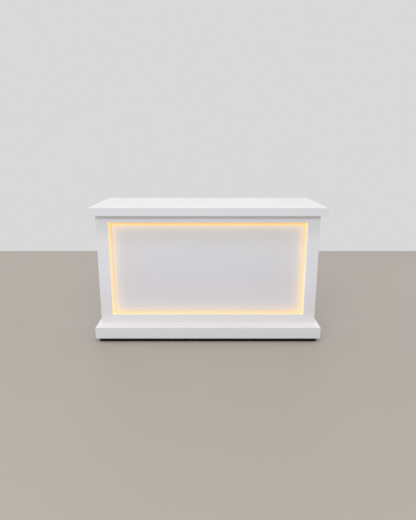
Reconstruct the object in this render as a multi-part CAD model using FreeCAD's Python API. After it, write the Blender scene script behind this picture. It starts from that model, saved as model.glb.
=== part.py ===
import FreeCAD, Part
import math
import os

# Bar counter with a lit recess in its front, open shelves on the service side and
# castors hidden in its plinth.
#
# The counter top and the plinth share one footprint. The cabinet between them is
# narrower, and stands further back at the front. Sizes are in millimetres. X runs
# to the customer's right, Y from the customer's side to the service side, and Z up.
# The origin is on the floor, under the middle of the footprint.

Vector = FreeCAD.Vector
X_AXIS = Vector(1, 0, 0)
Y_AXIS = Vector(0, 1, 0)
Z_AXIS = Vector(0, 0, 1)

# ---------------------------------------------------------------- driving sizes

# Whole counter
overall_width = 1830.0
overall_depth = 760.0
overall_height = 1095.0
floor_gap = 30.0            # from the floor to the plinth's lower edge
base_height = 92.0
slab_height = 62.0
front_overhang = 118.0      # from the top's front edge back to the cabinet's front
side_overhang = 27.0
rear_overhang = 27.0

# Sheet materials
board = 18.0
display_board = 12.0
back_board = 9.0
edge_band = 2.0             # thickness of the band glued round the top and the plinth
band_round = 1.5
corner_round = 1.0          # on the cabinet's own edges

# Hollow core of the counter top
core_strip = 60.0
core_rib_count = 5

# Front frame and the recess inside it
stile_width = 96.0
top_rail_height = 68.0
bottom_rail_height = 70.0
recess_depth = 48.0         # from the frame's face back to the display panel

# Corner light profile round the recess
profile_size = 19.0
profile_wall = 1.6
tape_seat = 12.6            # width of the sloping seat for the light tape
tape_width = 10.0
tape_thickness = 1.2
tape_end_gap = 12.0         # from the tape's end to the recess's corner
diffuser_wall = 1.5

# Service side
service_gap = 50.0          # wiring space behind the display panel
shelf_rises = (280.0, 578.0)    # from the cabinet's floor up to each shelf's underside
shelf_setback = 25.0
shelf_gap = 1.0

# Shelf pins and their rows of holes
pin_radius = 2.5
pin_shank = 10.0
pin_reach = 9.0
pin_width = 10.0
pin_height = 6.0
pin_inset = 55.0            # from the shelf's front and rear edges
pin_pitch = 32.0
pin_spares = 2              # spare holes above and below each pin

# Dowels
dowel_radius = 4.0
dowel_length = 30.0
dowel_in_face = 11.0        # the end that goes into the face of a board
dowels_per_joint = 3
dowel_margin = 60.0
rail_dowel_margin = 18.0

# Countersunk screws that hold the cabinet to the top and to the plinth
screw_radius = 2.25
screw_head_radius = 4.5
screw_head_height = 2.6
screw_length = 28.0
screws_per_bay = 3
screw_side_margin = 60.0
screw_rear_margin = 30.0

# Pan-head screws that hold the castors and the power box
pan_screw_radius = 2.5
pan_screw_length = 14.0
pan_head_radius = 4.8
pan_head_height = 3.0

# Cross recess in every screw's head
drive_span = 4.4
drive_slot = 1.1
drive_depth = 1.6

# Power box under the top of the right-hand bay
box_width = 170.0
box_depth = 120.0
box_height = 52.0
box_wall = 1.5
box_side_gap = 40.0         # from the end panel
box_setback = 60.0          # from the cabinet's rear edge
box_ear = 14.0
driver_width = 120.0
driver_depth = 62.0
driver_height = 30.0
driver_gap = 14.0

# Power entry module: an appliance inlet beside a rocker switch
entry_width = 46.0
entry_height = 23.0
entry_depth = 20.0
entry_flange = 3.0          # how far the flange laps over the box
entry_flange_thickness = 2.5
socket_width = 24.6
socket_height = 16.6
socket_depth = 16.0
socket_chamfer = 4.5
socket_offset = -8.8        # of the socket's centre from the module's centre
blade_width = 2.0
blade_height = 4.0
blade_length = 13.0
blade_spacing = 7.0
blade_rise = 2.0
rocker_width = 12.4
rocker_height = 17.0
rocker_offset = 13.4
rocker_well_depth = 12.0
rocker_pivot_depth = 5.0    # below the flange's face
rocker_pivot_radius = 1.5
rocker_pivot_reach = 1.0
rocker_tilt = 8.0           # degrees each side of level

# Light cable, from the power box to the light profile
cable_radius = 2.0
cable_bend = 18.0
cable_drop = 12.0           # below the cabinet's top board
cable_entry = 14.5          # from the recess's side to the cable's hole
cable_fall = 35.0           # from the recess's top to the cable's hole
cable_end = 3.0             # how far the cable reaches into the profile
cable_tail = 12.0           # inside the power box
gland_radius = 7.0
gland_length = 12.0
gland_neck_radius = 4.9
gland_neck_length = 5.0
grommet_radius = 8.5
grommet_neck_radius = 5.9
grommet_lip = 1.5
clip_width = 10.0
clip_length = 8.0
clip_skin = 2.2
clip_count = 2

# Plinth
stretcher_height = 54.0
castor_inset = 125.0        # from the plinth's sides to each swivel's axis

# Castor
wheel_radius = 37.5
wheel_width = 25.0
hub_radius = 10.0
hub_width = 28.0
web_width = 12.0
rim_depth = 8.0
tyre_round = 3.0
axle_radius = 4.0
axle_head_flats = 13.0      # across the flats of the bolt's head and of its nut
axle_head_height = 4.0
axle_head_face = 6.2        # radius of the flat inside the chamfer of head and nut
castor_trail = 30.0         # from the swivel's axis back to the axle
plate_width = 70.0
plate_length = 90.0
plate_thickness = 3.0
plate_hole_inset = 9.0
race_radius = 24.0
race_height = 5.0
crown_race_radius = 20.0
crown_race_height = 3.7
kingpin_radius = 5.0
kingpin_head_radius = 8.0
kingpin_head_height = 4.5
fork_thickness = 3.0
fork_length = 48.0
axle_eye = 9.0

# Brake pedal on each rear castor
brake_angle = 45.0          # degrees above level at which the shoe meets the tyre
brake_arm = 18.0            # from the pedal's pivot to the shoe
brake_gap = 3.0             # between shoe and tyre with the brake off
shoe_length = 10.0
shoe_thickness = 5.0
shoe_width = 18.0
pedal_pivot_radius = 2.5
pedal_boss_radius = 4.5
pedal_ear_radius = 6.5
pedal_lever = 45.0
pedal_rise = 8.0            # degrees that the lever points up
pedal_thickness = 3.0
pedal_tread_width = 34.0
pedal_tread_length = 18.0

# Clearances
running_fit = 0.05          # radial, round pins and axles that turn
seat_gap = 0.3              # between faces that slide past each other
hole_fit = 0.1              # radial, round screws, dowels and shelf pins
hole_end = 0.5              # beyond the end of what is in a blind hole
cable_fit = 0.3             # radial, round the cable
wheel_side_gap = 0.5
lever_side_gap = 1.0
entry_fit = 0.2             # round the module in the box's wall

# ---------------------------------------------------------------- derived places

half_width = overall_width / 2
half_depth = overall_depth / 2
base_top = floor_gap + base_height
deck_bottom = base_top - board
slab_bottom = overall_height - slab_height
core_bottom = slab_bottom + board
core_top = overall_height - board

body_half = half_width - side_overhang
body_front = -half_depth + front_overhang
body_rear = half_depth - rear_overhang
inner_half = body_half - board
frame_rear = body_front + board
opening_half = body_half - stile_width
opening_bottom = base_top + bottom_rail_height
opening_top = slab_bottom - top_rail_height
panel_front = body_front + recess_depth
panel_rear = panel_front + display_board
lining_front = panel_rear + service_gap
lining_rear = lining_front + back_board
bay_bottom = base_top + board
bay_top = slab_bottom - board

sheet_half_width = half_width - edge_band
sheet_half_depth = half_depth - edge_band

# ---------------------------------------------------------------- helpers


def block(x, y, z):
    """A rectangular solid between the low and high value of each pair."""
    return Part.makeBox(x[1] - x[0], y[1] - y[0], z[1] - z[0], Vector(x[0], y[0], z[0]))


def rod(start, direction, radius, length):
    """A cylinder from a point, along a direction."""
    return Part.makeCylinder(radius, length, start, direction)


def prism(points, direction):
    """A polygon carried along a direction."""
    return Part.Face(Part.makePolygon(points + points[:1])).extrude(direction)


def fused(solids):
    """One solid from several that meet."""
    return solids[0].fuse(solids[1:]).removeSplitter().Solids[0]


def drilled(solid, tools):
    """The solid with every tool that reaches it taken out."""
    near = [tool for tool in tools if tool.BoundBox.intersect(solid.BoundBox)]
    return solid.cut(near).Solids[0] if near else solid


def rounded(solid, radius, chosen):
    """The solid with a radius on the edges whose middle passes the test."""
    edges = [edge for edge in solid.Edges if chosen(edge.CenterOfMass)]
    return solid.makeFillet(radius, edges).Solids[0]


def spread(low, high, count):
    """Evenly spaced places from low to high, both included."""
    step = (high - low) / (count - 1)
    return [low + step * index for index in range(count)]


def same(value, other):
    """Whether two places agree."""
    return abs(value - other) < 1e-6


def edge_sliver(start, end, inward, across, radius):
    """What comes off a square edge to round it. Two unit vectors point into the board."""
    run = end - start
    corner = prism([start, start + inward * radius, start + (inward + across) * radius,
                    start + across * radius], run)
    return corner.cut(rod(start + (inward + across) * radius, run, radius, run.Length))


def save(name, *solids):
    """Write one node. A node of several like pieces is a compound."""
    shape = solids[0] if len(solids) == 1 else Part.makeCompound(list(solids))
    shape.exportStep(f"parts/{name}.step")


# ---------------------------------------------------------------- edge bands


def edge_bands(bottom, top, rear_bottom):
    """Four bands round a slab of the full footprint, with eased outer edges."""
    ease = min(band_round, 0.8 * edge_band)
    bands = []
    for side, low in ((-1, bottom), (1, rear_bottom)):
        outer = side * half_depth
        band = block((-half_width, half_width), sorted((outer, side * sheet_half_depth)),
                     (low, top))
        bands.append(rounded(band, ease, lambda p, outer=outer, side=side: same(p.y, outer) or (
            same(abs(p.x), half_width) and not same(p.y, side * sheet_half_depth))))
    for side in (-1, 1):
        outer = side * half_width
        band = block(sorted((outer, side * sheet_half_width)),
                     (-sheet_half_depth, sheet_half_depth), (bottom, top))
        bands.append(rounded(band, ease, lambda p, outer=outer: same(p.x, outer) and same(p.y, 0)))
    return bands


# ---------------------------------------------------------------- counter top


def countertop():
    """A hollow-core slab: two skins over a core of strips and ribs, banded all round."""
    sheet_x = (-sheet_half_width, sheet_half_width)
    sheet_y = (-sheet_half_depth, sheet_half_depth)
    core_z = (core_bottom, core_top)
    core = [block(sheet_x, (-sheet_half_depth, -sheet_half_depth + core_strip), core_z),
            block(sheet_x, (sheet_half_depth - core_strip, sheet_half_depth), core_z)]
    rib_y = (-sheet_half_depth + core_strip, sheet_half_depth - core_strip)
    for left in spread(-sheet_half_width, sheet_half_width - core_strip, core_rib_count):
        core.append(block((left, left + core_strip), rib_y, core_z))

    save("countertop_panel", block(sheet_x, sheet_y, (core_top, overall_height)))
    save("countertop_core", *core)
    underside = block(sheet_x, sheet_y, (slab_bottom, core_bottom))
    save("countertop_underside_panel", drilled(underside, screw_holes))
    save("countertop_edge_bands", *edge_bands(slab_bottom, overall_height, slab_bottom))


# ---------------------------------------------------------------- dowels and screws


def dowel_joints():
    """Each dowel's place on its joint, and the direction of its end in a board's face."""
    joints = []
    for y in spread(frame_rear + dowel_margin, body_rear - dowel_margin, dowels_per_joint):
        for side in (-1, 1):
            for z in (base_top + board / 2, slab_bottom - board / 2):
                joints.append((Vector(side * inner_half, y, z), X_AXIS * side))
    for y in spread(lining_rear + dowel_margin, body_rear - dowel_margin, dowels_per_joint):
        joints.append((Vector(0, y, bay_bottom), -Z_AXIS))
        joints.append((Vector(0, y, bay_top), Z_AXIS))
    rails = ((base_top, opening_bottom), (opening_top, slab_bottom))
    for low, high in rails:
        for z in (low + rail_dowel_margin, high - rail_dowel_margin):
            for side in (-1, 1):
                joints.append((Vector(side * opening_half, body_front + board / 2, z), X_AXIS * side))
    return joints


def dowel(place, direction):
    """A dowel across a joint."""
    start = place - direction * (dowel_length - dowel_in_face)
    return rod(start, direction, dowel_radius, dowel_length)


def dowel_hole(place, direction):
    """The hole for a dowel, in both boards at once."""
    start = place - direction * (dowel_length - dowel_in_face + hole_end)
    return rod(start, direction, dowel_radius + hole_fit, dowel_length + 2 * hole_end)


def countersunk(head_face, direction, fit, beyond):
    """A countersunk screw from its head's flat face, or its hole when given a fit."""
    head = Part.makeCone(screw_head_radius + fit, screw_radius + fit, screw_head_height,
                         head_face, direction)
    shank = rod(head_face, direction, screw_radius + fit, screw_length + beyond)
    return fused([head, shank])


def pan_head(seat, direction, fit, beyond):
    """A pan-head screw that enters the seat along the direction, or its hole."""
    shank = rod(seat, direction, pan_screw_radius + fit, pan_screw_length + beyond)
    if fit:
        return shank
    head = rod(seat, direction * -1, pan_head_radius, pan_head_height)
    rim = seat - direction * pan_head_height
    head = rounded(head, 0.6 * pan_head_height, lambda p: (p - rim).Length < 1e-6)
    return fused([head, shank])


def cross_recess(face, direction):
    """The socket for a screwdriver, sunk into the flat of an upright screw's head."""
    bars = []
    for along, across in ((X_AXIS, Y_AXIS), (Y_AXIS, X_AXIS)):
        corner = face - along * drive_span / 2 - across * drive_slot / 2
        bars.append(prism([corner, corner + along * drive_span,
                           corner + along * drive_span + across * drive_slot,
                           corner + across * drive_slot], direction * drive_depth))
    return fused(bars)


def screw_places():
    """Where the countersunk screws sit, and which way each one points."""
    places = []
    inner = board / 2 + screw_side_margin
    rows = (lining_rear + screw_side_margin, body_rear - screw_rear_margin)
    for side in (-1, 1):
        for x in spread(inner, inner_half - screw_side_margin, screws_per_bay):
            for y in rows:
                places.append((Vector(side * x, y, bay_top), Z_AXIS))
                places.append((Vector(side * x, y, bay_bottom), -Z_AXIS))
    return places


def castor_places():
    """The four swivel axes, at the underside of the plinth's deck."""
    return {f"{row}_{side}": Vector(x, y, deck_bottom)
            for row, y in (("front", -half_depth + castor_inset), ("rear", half_depth - castor_inset))
            for side, x in (("left", -half_width + castor_inset), ("right", half_width - castor_inset))}


box_right = inner_half - box_side_gap
box_left = box_right - box_width
box_rear = body_rear - box_setback
box_front = box_rear - box_depth


def pan_screw_places():
    """Seats of the castor plates' screws and of the power box's ears."""
    places = []
    reach_x = plate_width / 2 - plate_hole_inset
    reach_y = plate_length / 2 - plate_hole_inset
    for centre in castor_places().values():
        for dx in (-reach_x, reach_x):
            for dy in (-reach_y, reach_y):
                places.append(centre + Vector(dx, dy, -plate_thickness))
    for x in (box_left - box_ear / 2, box_right + box_ear / 2):
        for y in (box_front + box_ear, box_rear - box_ear):
            places.append(Vector(x, y, bay_top - box_wall))
    return places


dowel_holes = [dowel_hole(place, way) for place, way in dowel_joints()]
screw_holes = [countersunk(place, way, hole_fit, hole_end) for place, way in screw_places()]
pan_holes = [pan_head(place, Z_AXIS, hole_fit, hole_end) for place in pan_screw_places()]


def fasteners():
    """All dowels and screws, one node for each kind."""
    save("wooden_dowels", *[dowel(place, way) for place, way in dowel_joints()])
    save("assembly_screws", *[drilled(countersunk(place, way, 0, 0), [cross_recess(place, way)])
                              for place, way in screw_places()])
    save("pan_head_screws", *[
        drilled(pan_head(seat, Z_AXIS, 0, 0), [cross_recess(seat - Z_AXIS * pan_head_height, Z_AXIS)])
        for seat in pan_screw_places()])


# ---------------------------------------------------------------- light cable

cable_x = opening_half - cable_entry
cable_z = bay_top - cable_drop
cable_hole_z = opening_top - cable_fall
cable_wall_y = (panel_rear + lining_front) / 2


def tube_along(points, bend, radius):
    """A round cable along straight runs, with an arc of one radius at each corner."""
    edges = []
    start = points[0]
    for before, corner, after in zip(points, points[1:], points[2:]):
        back = (before - corner).normalize()
        ahead = (after - corner).normalize()
        half_turn = (math.pi - back.getAngle(ahead)) / 2
        cut_back = bend * math.tan(half_turn)
        bisector = (back + ahead).normalize()
        middle = corner + bisector * (bend / math.cos(half_turn) - bend)
        edges.append(Part.LineSegment(start, corner + back * cut_back).toShape())
        edges.append(Part.Arc(corner + back * cut_back, middle, corner + ahead * cut_back).toShape())
        start = corner + ahead * cut_back
    edges.append(Part.LineSegment(start, points[-1]).toShape())
    path = Part.Wire(edges)
    section = Part.Face(Part.Wire(Part.Circle(points[0], points[1] - points[0], radius).toShape()))
    tube = path.makePipe(section)
    expected = math.pi * radius ** 2 * path.Length
    print(f"light cable: {path.Length:.0f} mm long, bend radius {bend:g} mm, "
          f"volume {tube.Volume / expected:.4f} of section times length")
    return tube


def light_cable():
    """The cable, the gland it leaves the power box by, its clips and its grommet."""
    route = [Vector(cable_x, box_front + cable_tail, cable_z),
             Vector(cable_x, cable_wall_y, cable_z),
             Vector(cable_x, cable_wall_y, cable_hole_z),
             Vector(cable_x, panel_front - cable_end, cable_hole_z)]
    save("led_cable", tube_along(route, cable_bend, cable_radius))

    bore = cable_radius + cable_fit
    at_box = Vector(cable_x, box_front, cable_z)
    nut = rod(at_box, -Y_AXIS, gland_radius, gland_length)
    nut = rounded(nut, gland_radius / 4, lambda p: same(p.y, box_front - gland_length)
                  and same(p.x, cable_x) and same(p.z, cable_z))
    neck = rod(at_box, Y_AXIS, gland_neck_radius, gland_neck_length)
    through = rod(at_box - Y_AXIS * 2 * gland_length, Y_AXIS, bore, 4 * gland_length)
    save("cable_gland", fused([nut, neck]).cut(through).Solids[0])

    rear_lip = rod(Vector(cable_x, lining_rear, cable_z), Y_AXIS, grommet_radius, grommet_lip)
    neck = rod(Vector(cable_x, lining_front, cable_z), Y_AXIS, grommet_neck_radius, back_board)
    front_lip = rod(Vector(cable_x, lining_front, cable_z), -Y_AXIS, grommet_radius, grommet_lip)
    ring = fused([rear_lip, neck, front_lip])
    through = rod(Vector(cable_x, lining_front - board, cable_z), Y_AXIS, bore, 3 * board)
    save("cable_grommet", ring.cut(through).Solids[0])

    clips = []
    run = (lining_rear, box_front - gland_length)
    for y in spread(*run, clip_count + 2)[1:-1]:
        body = block((cable_x - clip_width / 2, cable_x + clip_width / 2),
                     (y - clip_length / 2, y + clip_length / 2),
                     (cable_z - bore - clip_skin, bay_top))
        through = rod(Vector(cable_x, y - clip_length, cable_z), Y_AXIS, bore, 2 * clip_length)
        clips.append(body.cut(through).Solids[0])
    save("cable_clips", *clips)


cable_holes = [
    rod(Vector(cable_x, panel_front - 2 * profile_wall, cable_hole_z), Y_AXIS,
        cable_radius + cable_fit, display_board + 4 * profile_wall),
    rod(Vector(cable_x, lining_front - hole_end, cable_z), Y_AXIS,
        grommet_neck_radius + hole_fit, back_board + 2 * hole_end),
]

# ---------------------------------------------------------------- front


def front_frame():
    """Stiles and rails round the recess, dowelled together."""
    face = (body_front, frame_rear)
    for name, side in (("left", -1), ("right", 1)):
        inner = side * opening_half
        stile = block(sorted((inner, side * body_half)), face, (base_top, slab_bottom))
        outer_edge = side * body_half
        stile = rounded(stile, corner_round, lambda p, outer_edge=outer_edge: same(p.x, outer_edge)
                        and same(p.y, body_front) and not same(p.z, base_top)
                        and not same(p.z, slab_bottom))
        sliver = edge_sliver(Vector(inner, body_front, opening_bottom),
                             Vector(inner, body_front, opening_top),
                             X_AXIS * side, Y_AXIS, corner_round)
        save(f"front_{name}_stile", drilled(stile, dowel_holes + [sliver]))
    rails = (("bottom", base_top, opening_bottom, opening_bottom, -1),
             ("top", opening_top, slab_bottom, opening_top, 1))
    for name, low, high, edge, way in rails:
        rail = block((-opening_half, opening_half), face, (low, high))
        sliver = edge_sliver(Vector(-opening_half, body_front, edge),
                             Vector(opening_half, body_front, edge),
                             Z_AXIS * way, Y_AXIS, corner_round)
        save(f"front_{name}_rail", drilled(rail, dowel_holes + [sliver]))


def recess_returns():
    """Four boards behind the frame that carry its opening back to the display panel."""
    depth = (frame_rear, panel_front)
    height = (opening_bottom - board, opening_top + board)
    width = (-opening_half, opening_half)
    for name, side in (("left", -1), ("right", 1)):
        reach = sorted((side * opening_half, side * (opening_half + board)))
        save(f"recess_{name}_return", block(reach, depth, height))
    save("recess_bottom_return", block(width, depth, (opening_bottom - board, opening_bottom)))
    save("recess_top_return", block(width, depth, (opening_top, opening_top + board)))


def display_panel():
    """The lit panel at the back of the recess."""
    reach = opening_half + board
    panel = block((-reach, reach), (panel_front, panel_rear),
                  (opening_bottom - board, opening_top + board))
    save("display_panel", drilled(panel, cable_holes))


# ---------------------------------------------------------------- corner light profile


def profile_side(name):
    """Corner, inward direction, run and mitred outline of one side of the recess."""
    low_left = Vector(-opening_half, panel_front, opening_bottom)
    low_right = Vector(opening_half, panel_front, opening_bottom)
    high_left = Vector(-opening_half, panel_front, opening_top)
    high_right = Vector(opening_half, panel_front, opening_top)
    start, end, inward = {"bottom": (low_left, low_right, Z_AXIS),
                          "top": (high_left, high_right, -Z_AXIS),
                          "left": (low_left, high_left, X_AXIS),
                          "right": (low_right, high_right, -X_AXIS)}[name]
    along = (end - start).normalize()
    mitred = [start, end, end + (inward - along) * profile_size,
              start + (inward + along) * profile_size]
    return start, end, inward, mitred


def carried(name, outline):
    """A section on inward and outward distances, carried along one side and mitred.

    The outline is its first point and then its steps. A step is the point that a
    straight edge leads to, or a pair of points for an arc: its middle and its end.
    """
    start, end, inward, mitred = profile_side(name)

    def place(point):
        return start + inward * point[0] - Y_AXIS * point[1]

    edges = []
    here = outline[0]
    for step in outline[1:]:
        if isinstance(step[0], tuple):
            middle, step = step
            edges.append(Part.Arc(place(here), place(middle), place(step)).toShape())
        else:
            edges.append(Part.LineSegment(place(here), place(step)).toShape())
        here = step
    length = Part.Face(Part.Wire(edges)).extrude(end - start)
    return length.common(prism(mitred, -Y_AXIS * profile_size)).Solids[0]


def light_profiles():
    """Aluminium corner channel, light tape on its sloping seat, and quarter-round cover."""
    size, wall = profile_size, profile_wall
    diagonal = math.sqrt(0.5)
    seat = wall + tape_seat * diagonal
    channel = [(0, 0), (size, 0), (size, wall), (seat, wall), (wall, seat), (wall, size),
               (0, size), (0, 0)]

    outer = size - wall
    inner = outer - diffuser_wall
    outer_middle = (wall + outer * diagonal, wall + outer * diagonal)
    inner_middle = (wall + inner * diagonal, wall + inner * diagonal)
    cover = [(wall + inner, wall), (size, wall), (outer_middle, (wall, size)),
             (wall, wall + inner), (inner_middle, (wall + inner, wall))]

    middle = (seat + wall) / 2
    half = tape_width / 2 * diagonal
    lift = tape_thickness * diagonal
    tape = [(middle + half, middle - half), (middle + half + lift, middle - half + lift),
            (middle - half + lift, middle + half + lift), (middle - half, middle + half),
            (middle + half, middle - half)]

    names = ("bottom", "top", "left", "right")
    save("led_channels", *[drilled(carried(name, channel), cable_holes) for name in names])
    save("led_diffusers", *[carried(name, cover) for name in names])
    save("led_tapes", *[trimmed(name, carried(name, tape)) for name in names])


def trimmed(name, tape):
    """A tape that stops short of the recess's corners."""
    start, end, inward, _ = profile_side(name)
    along = (end - start).normalize()
    low = start + along * tape_end_gap
    high = end - along * tape_end_gap
    reach = inward * profile_size
    window = prism([low, high, high + reach, low + reach], -Y_AXIS * profile_size)
    return tape.common(window).Solids[0]


# ---------------------------------------------------------------- cabinet

shelf_sides = (("left", -1), ("right", 1))
shelf_names = ("lower", "upper")
shelf_y = (lining_rear + shelf_gap, body_rear - shelf_setback)


def pin_places():
    """Each pin's place on its upright, and the direction that it sticks out in."""
    places = []
    for rise in shelf_rises:
        z = bay_bottom + rise - pin_height / 2
        for y in (shelf_y[0] + pin_inset, shelf_y[1] - pin_inset):
            for side in (-1, 1):
                places.append((Vector(side * inner_half, y, z), X_AXIS * -side))
                places.append((Vector(side * board / 2, y, z), X_AXIS * side))
    return places


def shelf_pin(place, direction):
    """A round shank in the upright and a square shoulder under the shelf."""
    shank = rod(place, direction * -1, pin_radius, pin_shank - pin_radius)
    ends = sorted((place.x, place.x + direction.x * pin_reach))
    shoulder = block(ends, (place.y - pin_width / 2, place.y + pin_width / 2),
                     (place.z - pin_height / 2, place.z + pin_height / 2))
    return fused([shank, shoulder])


def pin_holes():
    """A short row of holes round each pin."""
    holes = []
    for place, direction in pin_places():
        for step in range(-pin_spares, pin_spares + 1):
            centre = place + Z_AXIS * step * pin_pitch
            holes.append(rod(centre, direction * -1, pin_radius + hole_fit,
                             pin_shank - pin_radius + hole_end))
    return holes


def cabinet():
    """End panels, floor, top board, back panel, partition and shelves."""
    depth = (frame_rear, body_rear)
    holes = dowel_holes + screw_holes + pan_holes + cable_holes
    rows = pin_holes()
    for name, side in shelf_sides:
        panel = block(sorted((side * inner_half, side * body_half)), depth, (base_top, slab_bottom))
        panel = rounded(panel, corner_round, lambda p: same(p.y, body_rear)
                        and not same(p.z, base_top) and not same(p.z, slab_bottom))
        save(f"{name}_end_panel", drilled(panel, holes + rows))

    inside = (-inner_half, inner_half)
    save("cabinet_floor", drilled(block(inside, depth, (base_top, bay_bottom)), holes))
    save("cabinet_top_board", drilled(block(inside, depth, (bay_top, slab_bottom)), holes))
    bay_z = (bay_bottom, bay_top)
    lining = block(inside, (lining_front, lining_rear), bay_z)
    save("service_back_panel", drilled(lining, cable_holes))
    partition = block((-board / 2, board / 2), (lining_rear, body_rear), bay_z)
    save("centre_partition", drilled(partition, holes + rows))

    inner = board / 2 + shelf_gap
    outer = inner_half - shelf_gap
    for level, rise in zip(shelf_names, shelf_rises):
        low = bay_bottom + rise
        for name, side in shelf_sides:
            shelf = block(sorted((side * inner, side * outer)), shelf_y, (low, low + board))
            shelf = rounded(shelf, corner_round, lambda p, low=low: same(p.y, shelf_y[1])
                            and not same(p.z, low + board / 2))
            save(f"shelf_{name}_{level}", shelf)
    save("shelf_pins", *[shelf_pin(place, direction) for place, direction in pin_places()])


# ---------------------------------------------------------------- power box

box_z = (bay_top - box_height, bay_top)
entry_x = (box_left + box_right) / 2
entry_z = (box_z[0] + box_z[1]) / 2
entry_face = box_rear + entry_flange_thickness
socket_x = entry_x + socket_offset
rocker_x = entry_x + rocker_offset
rocker_y = entry_face - rocker_pivot_depth


def centred(x, z, width, height, y):
    """A block of a width and height about a point of the box's rear wall."""
    return block((x - width / 2, x + width / 2), y, (z - height / 2, z + height / 2))


def power_box():
    """A folded tray under the cabinet's top board, with the light driver in it."""
    outside = block((box_left, box_right), (box_front, box_rear), box_z)
    hollow = block((box_left + box_wall, box_right - box_wall),
                   (box_front + box_wall, box_rear - box_wall), (box_z[0] + box_wall, box_z[1]))
    ears = block((box_left - box_ear, box_right + box_ear), (box_front, box_rear),
                 (bay_top - box_wall, bay_top))
    folds = rounded(outside, box_wall, lambda p: same(p.z, box_z[0]))
    window = centred(entry_x, entry_z, entry_width + 2 * entry_fit, entry_height + 2 * entry_fit,
                     (box_rear - 2 * box_wall, box_rear + box_wall))
    gland_hole = rod(Vector(cable_x, box_front - box_wall, cable_z), Y_AXIS,
                     gland_neck_radius + hole_fit, 3 * box_wall)
    tray = fused([folds, ears]).cut([hollow, window, gland_hole])
    save("power_box", drilled(tray.Solids[0], pan_holes))

    low = box_z[0] + box_wall
    driver = centred(entry_x, low + driver_height / 2, driver_width, driver_height,
                     (box_front + driver_gap, box_front + driver_gap + driver_depth))
    save("led_driver", driver)


def socket_hollow():
    """The inlet's mouth: a rectangle with two upper corners cut off."""
    half, rise, cut = socket_width / 2, socket_height / 2, socket_chamfer
    outline = [(-half, -rise), (half, -rise), (half, rise - cut), (half - cut, rise),
               (-half + cut, rise), (-half, rise - cut)]
    points = [Vector(socket_x + x, entry_face, entry_z + z) for x, z in outline]
    return prism(points, -Y_AXIS * socket_depth)


def power_entry():
    """The moulded inlet and switch housing, its three blades and its rocker."""
    flange = centred(entry_x, entry_z, entry_width + 2 * entry_flange,
                     entry_height + 2 * entry_flange, (box_rear, entry_face))
    flange = rounded(flange, entry_flange_thickness / 2, lambda p: same(p.y, entry_face))
    body = centred(entry_x, entry_z, entry_width, entry_height,
                   (box_rear - entry_depth, box_rear))
    well = centred(rocker_x, entry_z, rocker_width + 2 * seat_gap,
                   rocker_height + 2 * rocker_pivot_reach, (entry_face - rocker_well_depth, entry_face))
    pivot_reach = rocker_width / 2 + rocker_pivot_reach
    pivot_bore = rod(Vector(rocker_x - pivot_reach - seat_gap, rocker_y, entry_z), X_AXIS,
                     rocker_pivot_radius + running_fit, 2 * (pivot_reach + seat_gap))
    module = fused([flange, body]).cut([socket_hollow(), well, pivot_bore])
    save("power_entry_module", module.Solids[0])

    floor_y = entry_face - socket_depth
    blades = []
    for x, z in ((-blade_spacing, -blade_rise), (0, blade_rise), (blade_spacing, -blade_rise)):
        blades.append(centred(socket_x + x, entry_z + z, blade_width, blade_height,
                              (floor_y, floor_y + blade_length)))
    save("power_entry_blades", *blades)

    half = rocker_height / 2
    crest = rocker_pivot_depth + 1.0
    outline = [(0, half), (crest, half), (crest - 1.5, 0), (crest, -half), (0, -half),
               (-rocker_pivot_depth, -half / 2), (-rocker_pivot_depth, half / 2)]
    left = rocker_x - rocker_width / 2
    points = [Vector(left, rocker_y + y, entry_z + z) for y, z in outline]
    lever = prism(points, X_AXIS * rocker_width)
    pivot = rod(Vector(rocker_x - pivot_reach, rocker_y, entry_z), X_AXIS,
                rocker_pivot_radius, 2 * pivot_reach)
    rocker = fused([lever, pivot])
    rocker.rotate(Vector(rocker_x, rocker_y, entry_z), X_AXIS, rocker_tilt)
    save("power_rocker", rocker)


# ---------------------------------------------------------------- plinth


def plinth():
    """A deck over three skirts and a stretcher, open at the rear for the brakes."""
    sheet_x = (-sheet_half_width, sheet_half_width)
    deck = block(sheet_x, (-sheet_half_depth, sheet_half_depth), (deck_bottom, base_top))
    save("plinth_deck", drilled(deck, screw_holes + pan_holes))
    skirt_z = (floor_gap, deck_bottom)
    front = (-sheet_half_depth, -sheet_half_depth + board)
    save("plinth_front_skirt", block(sheet_x, front, skirt_z))
    skirt_inner = sheet_half_width - board
    for name, side in (("left", -1), ("right", 1)):
        skirt = block(sorted((side * skirt_inner, side * sheet_half_width)),
                      (front[1], sheet_half_depth), skirt_z)
        save(f"plinth_{name}_skirt", skirt)
    stretcher = block((-skirt_inner, skirt_inner), (-board / 2, board / 2),
                      (deck_bottom - stretcher_height, deck_bottom))
    save("plinth_stretcher", stretcher)
    save("plinth_edge_bands", *edge_bands(floor_gap, base_top, deck_bottom))


# ---------------------------------------------------------------- castors

race_bottom = deck_bottom - plate_thickness - race_height
crown_top = race_bottom - seat_gap - crown_race_height
crown_bottom = crown_top - fork_thickness
leg_inner = hub_width / 2 + wheel_side_gap
leg_outer = leg_inner + fork_thickness


def castor_plate(centre):
    """Top plate with its upper race and riveted kingpin."""
    plate = block((centre.x - plate_width / 2, centre.x + plate_width / 2),
                  (centre.y - plate_length / 2, centre.y + plate_length / 2),
                  (deck_bottom - plate_thickness, deck_bottom))
    plate = rounded(plate, plate_hole_inset / 2, lambda p: same(p.z, deck_bottom - plate_thickness / 2))
    race = rod(Vector(centre.x, centre.y, race_bottom), Z_AXIS, race_radius, race_height)
    head_top = crown_bottom - seat_gap
    pin = rod(Vector(centre.x, centre.y, head_top), Z_AXIS, kingpin_radius, race_bottom - head_top)
    head = rod(Vector(centre.x, centre.y, head_top), -Z_AXIS, kingpin_head_radius,
               kingpin_head_height)
    return drilled(fused([plate, race, pin, head]), pan_holes)


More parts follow.
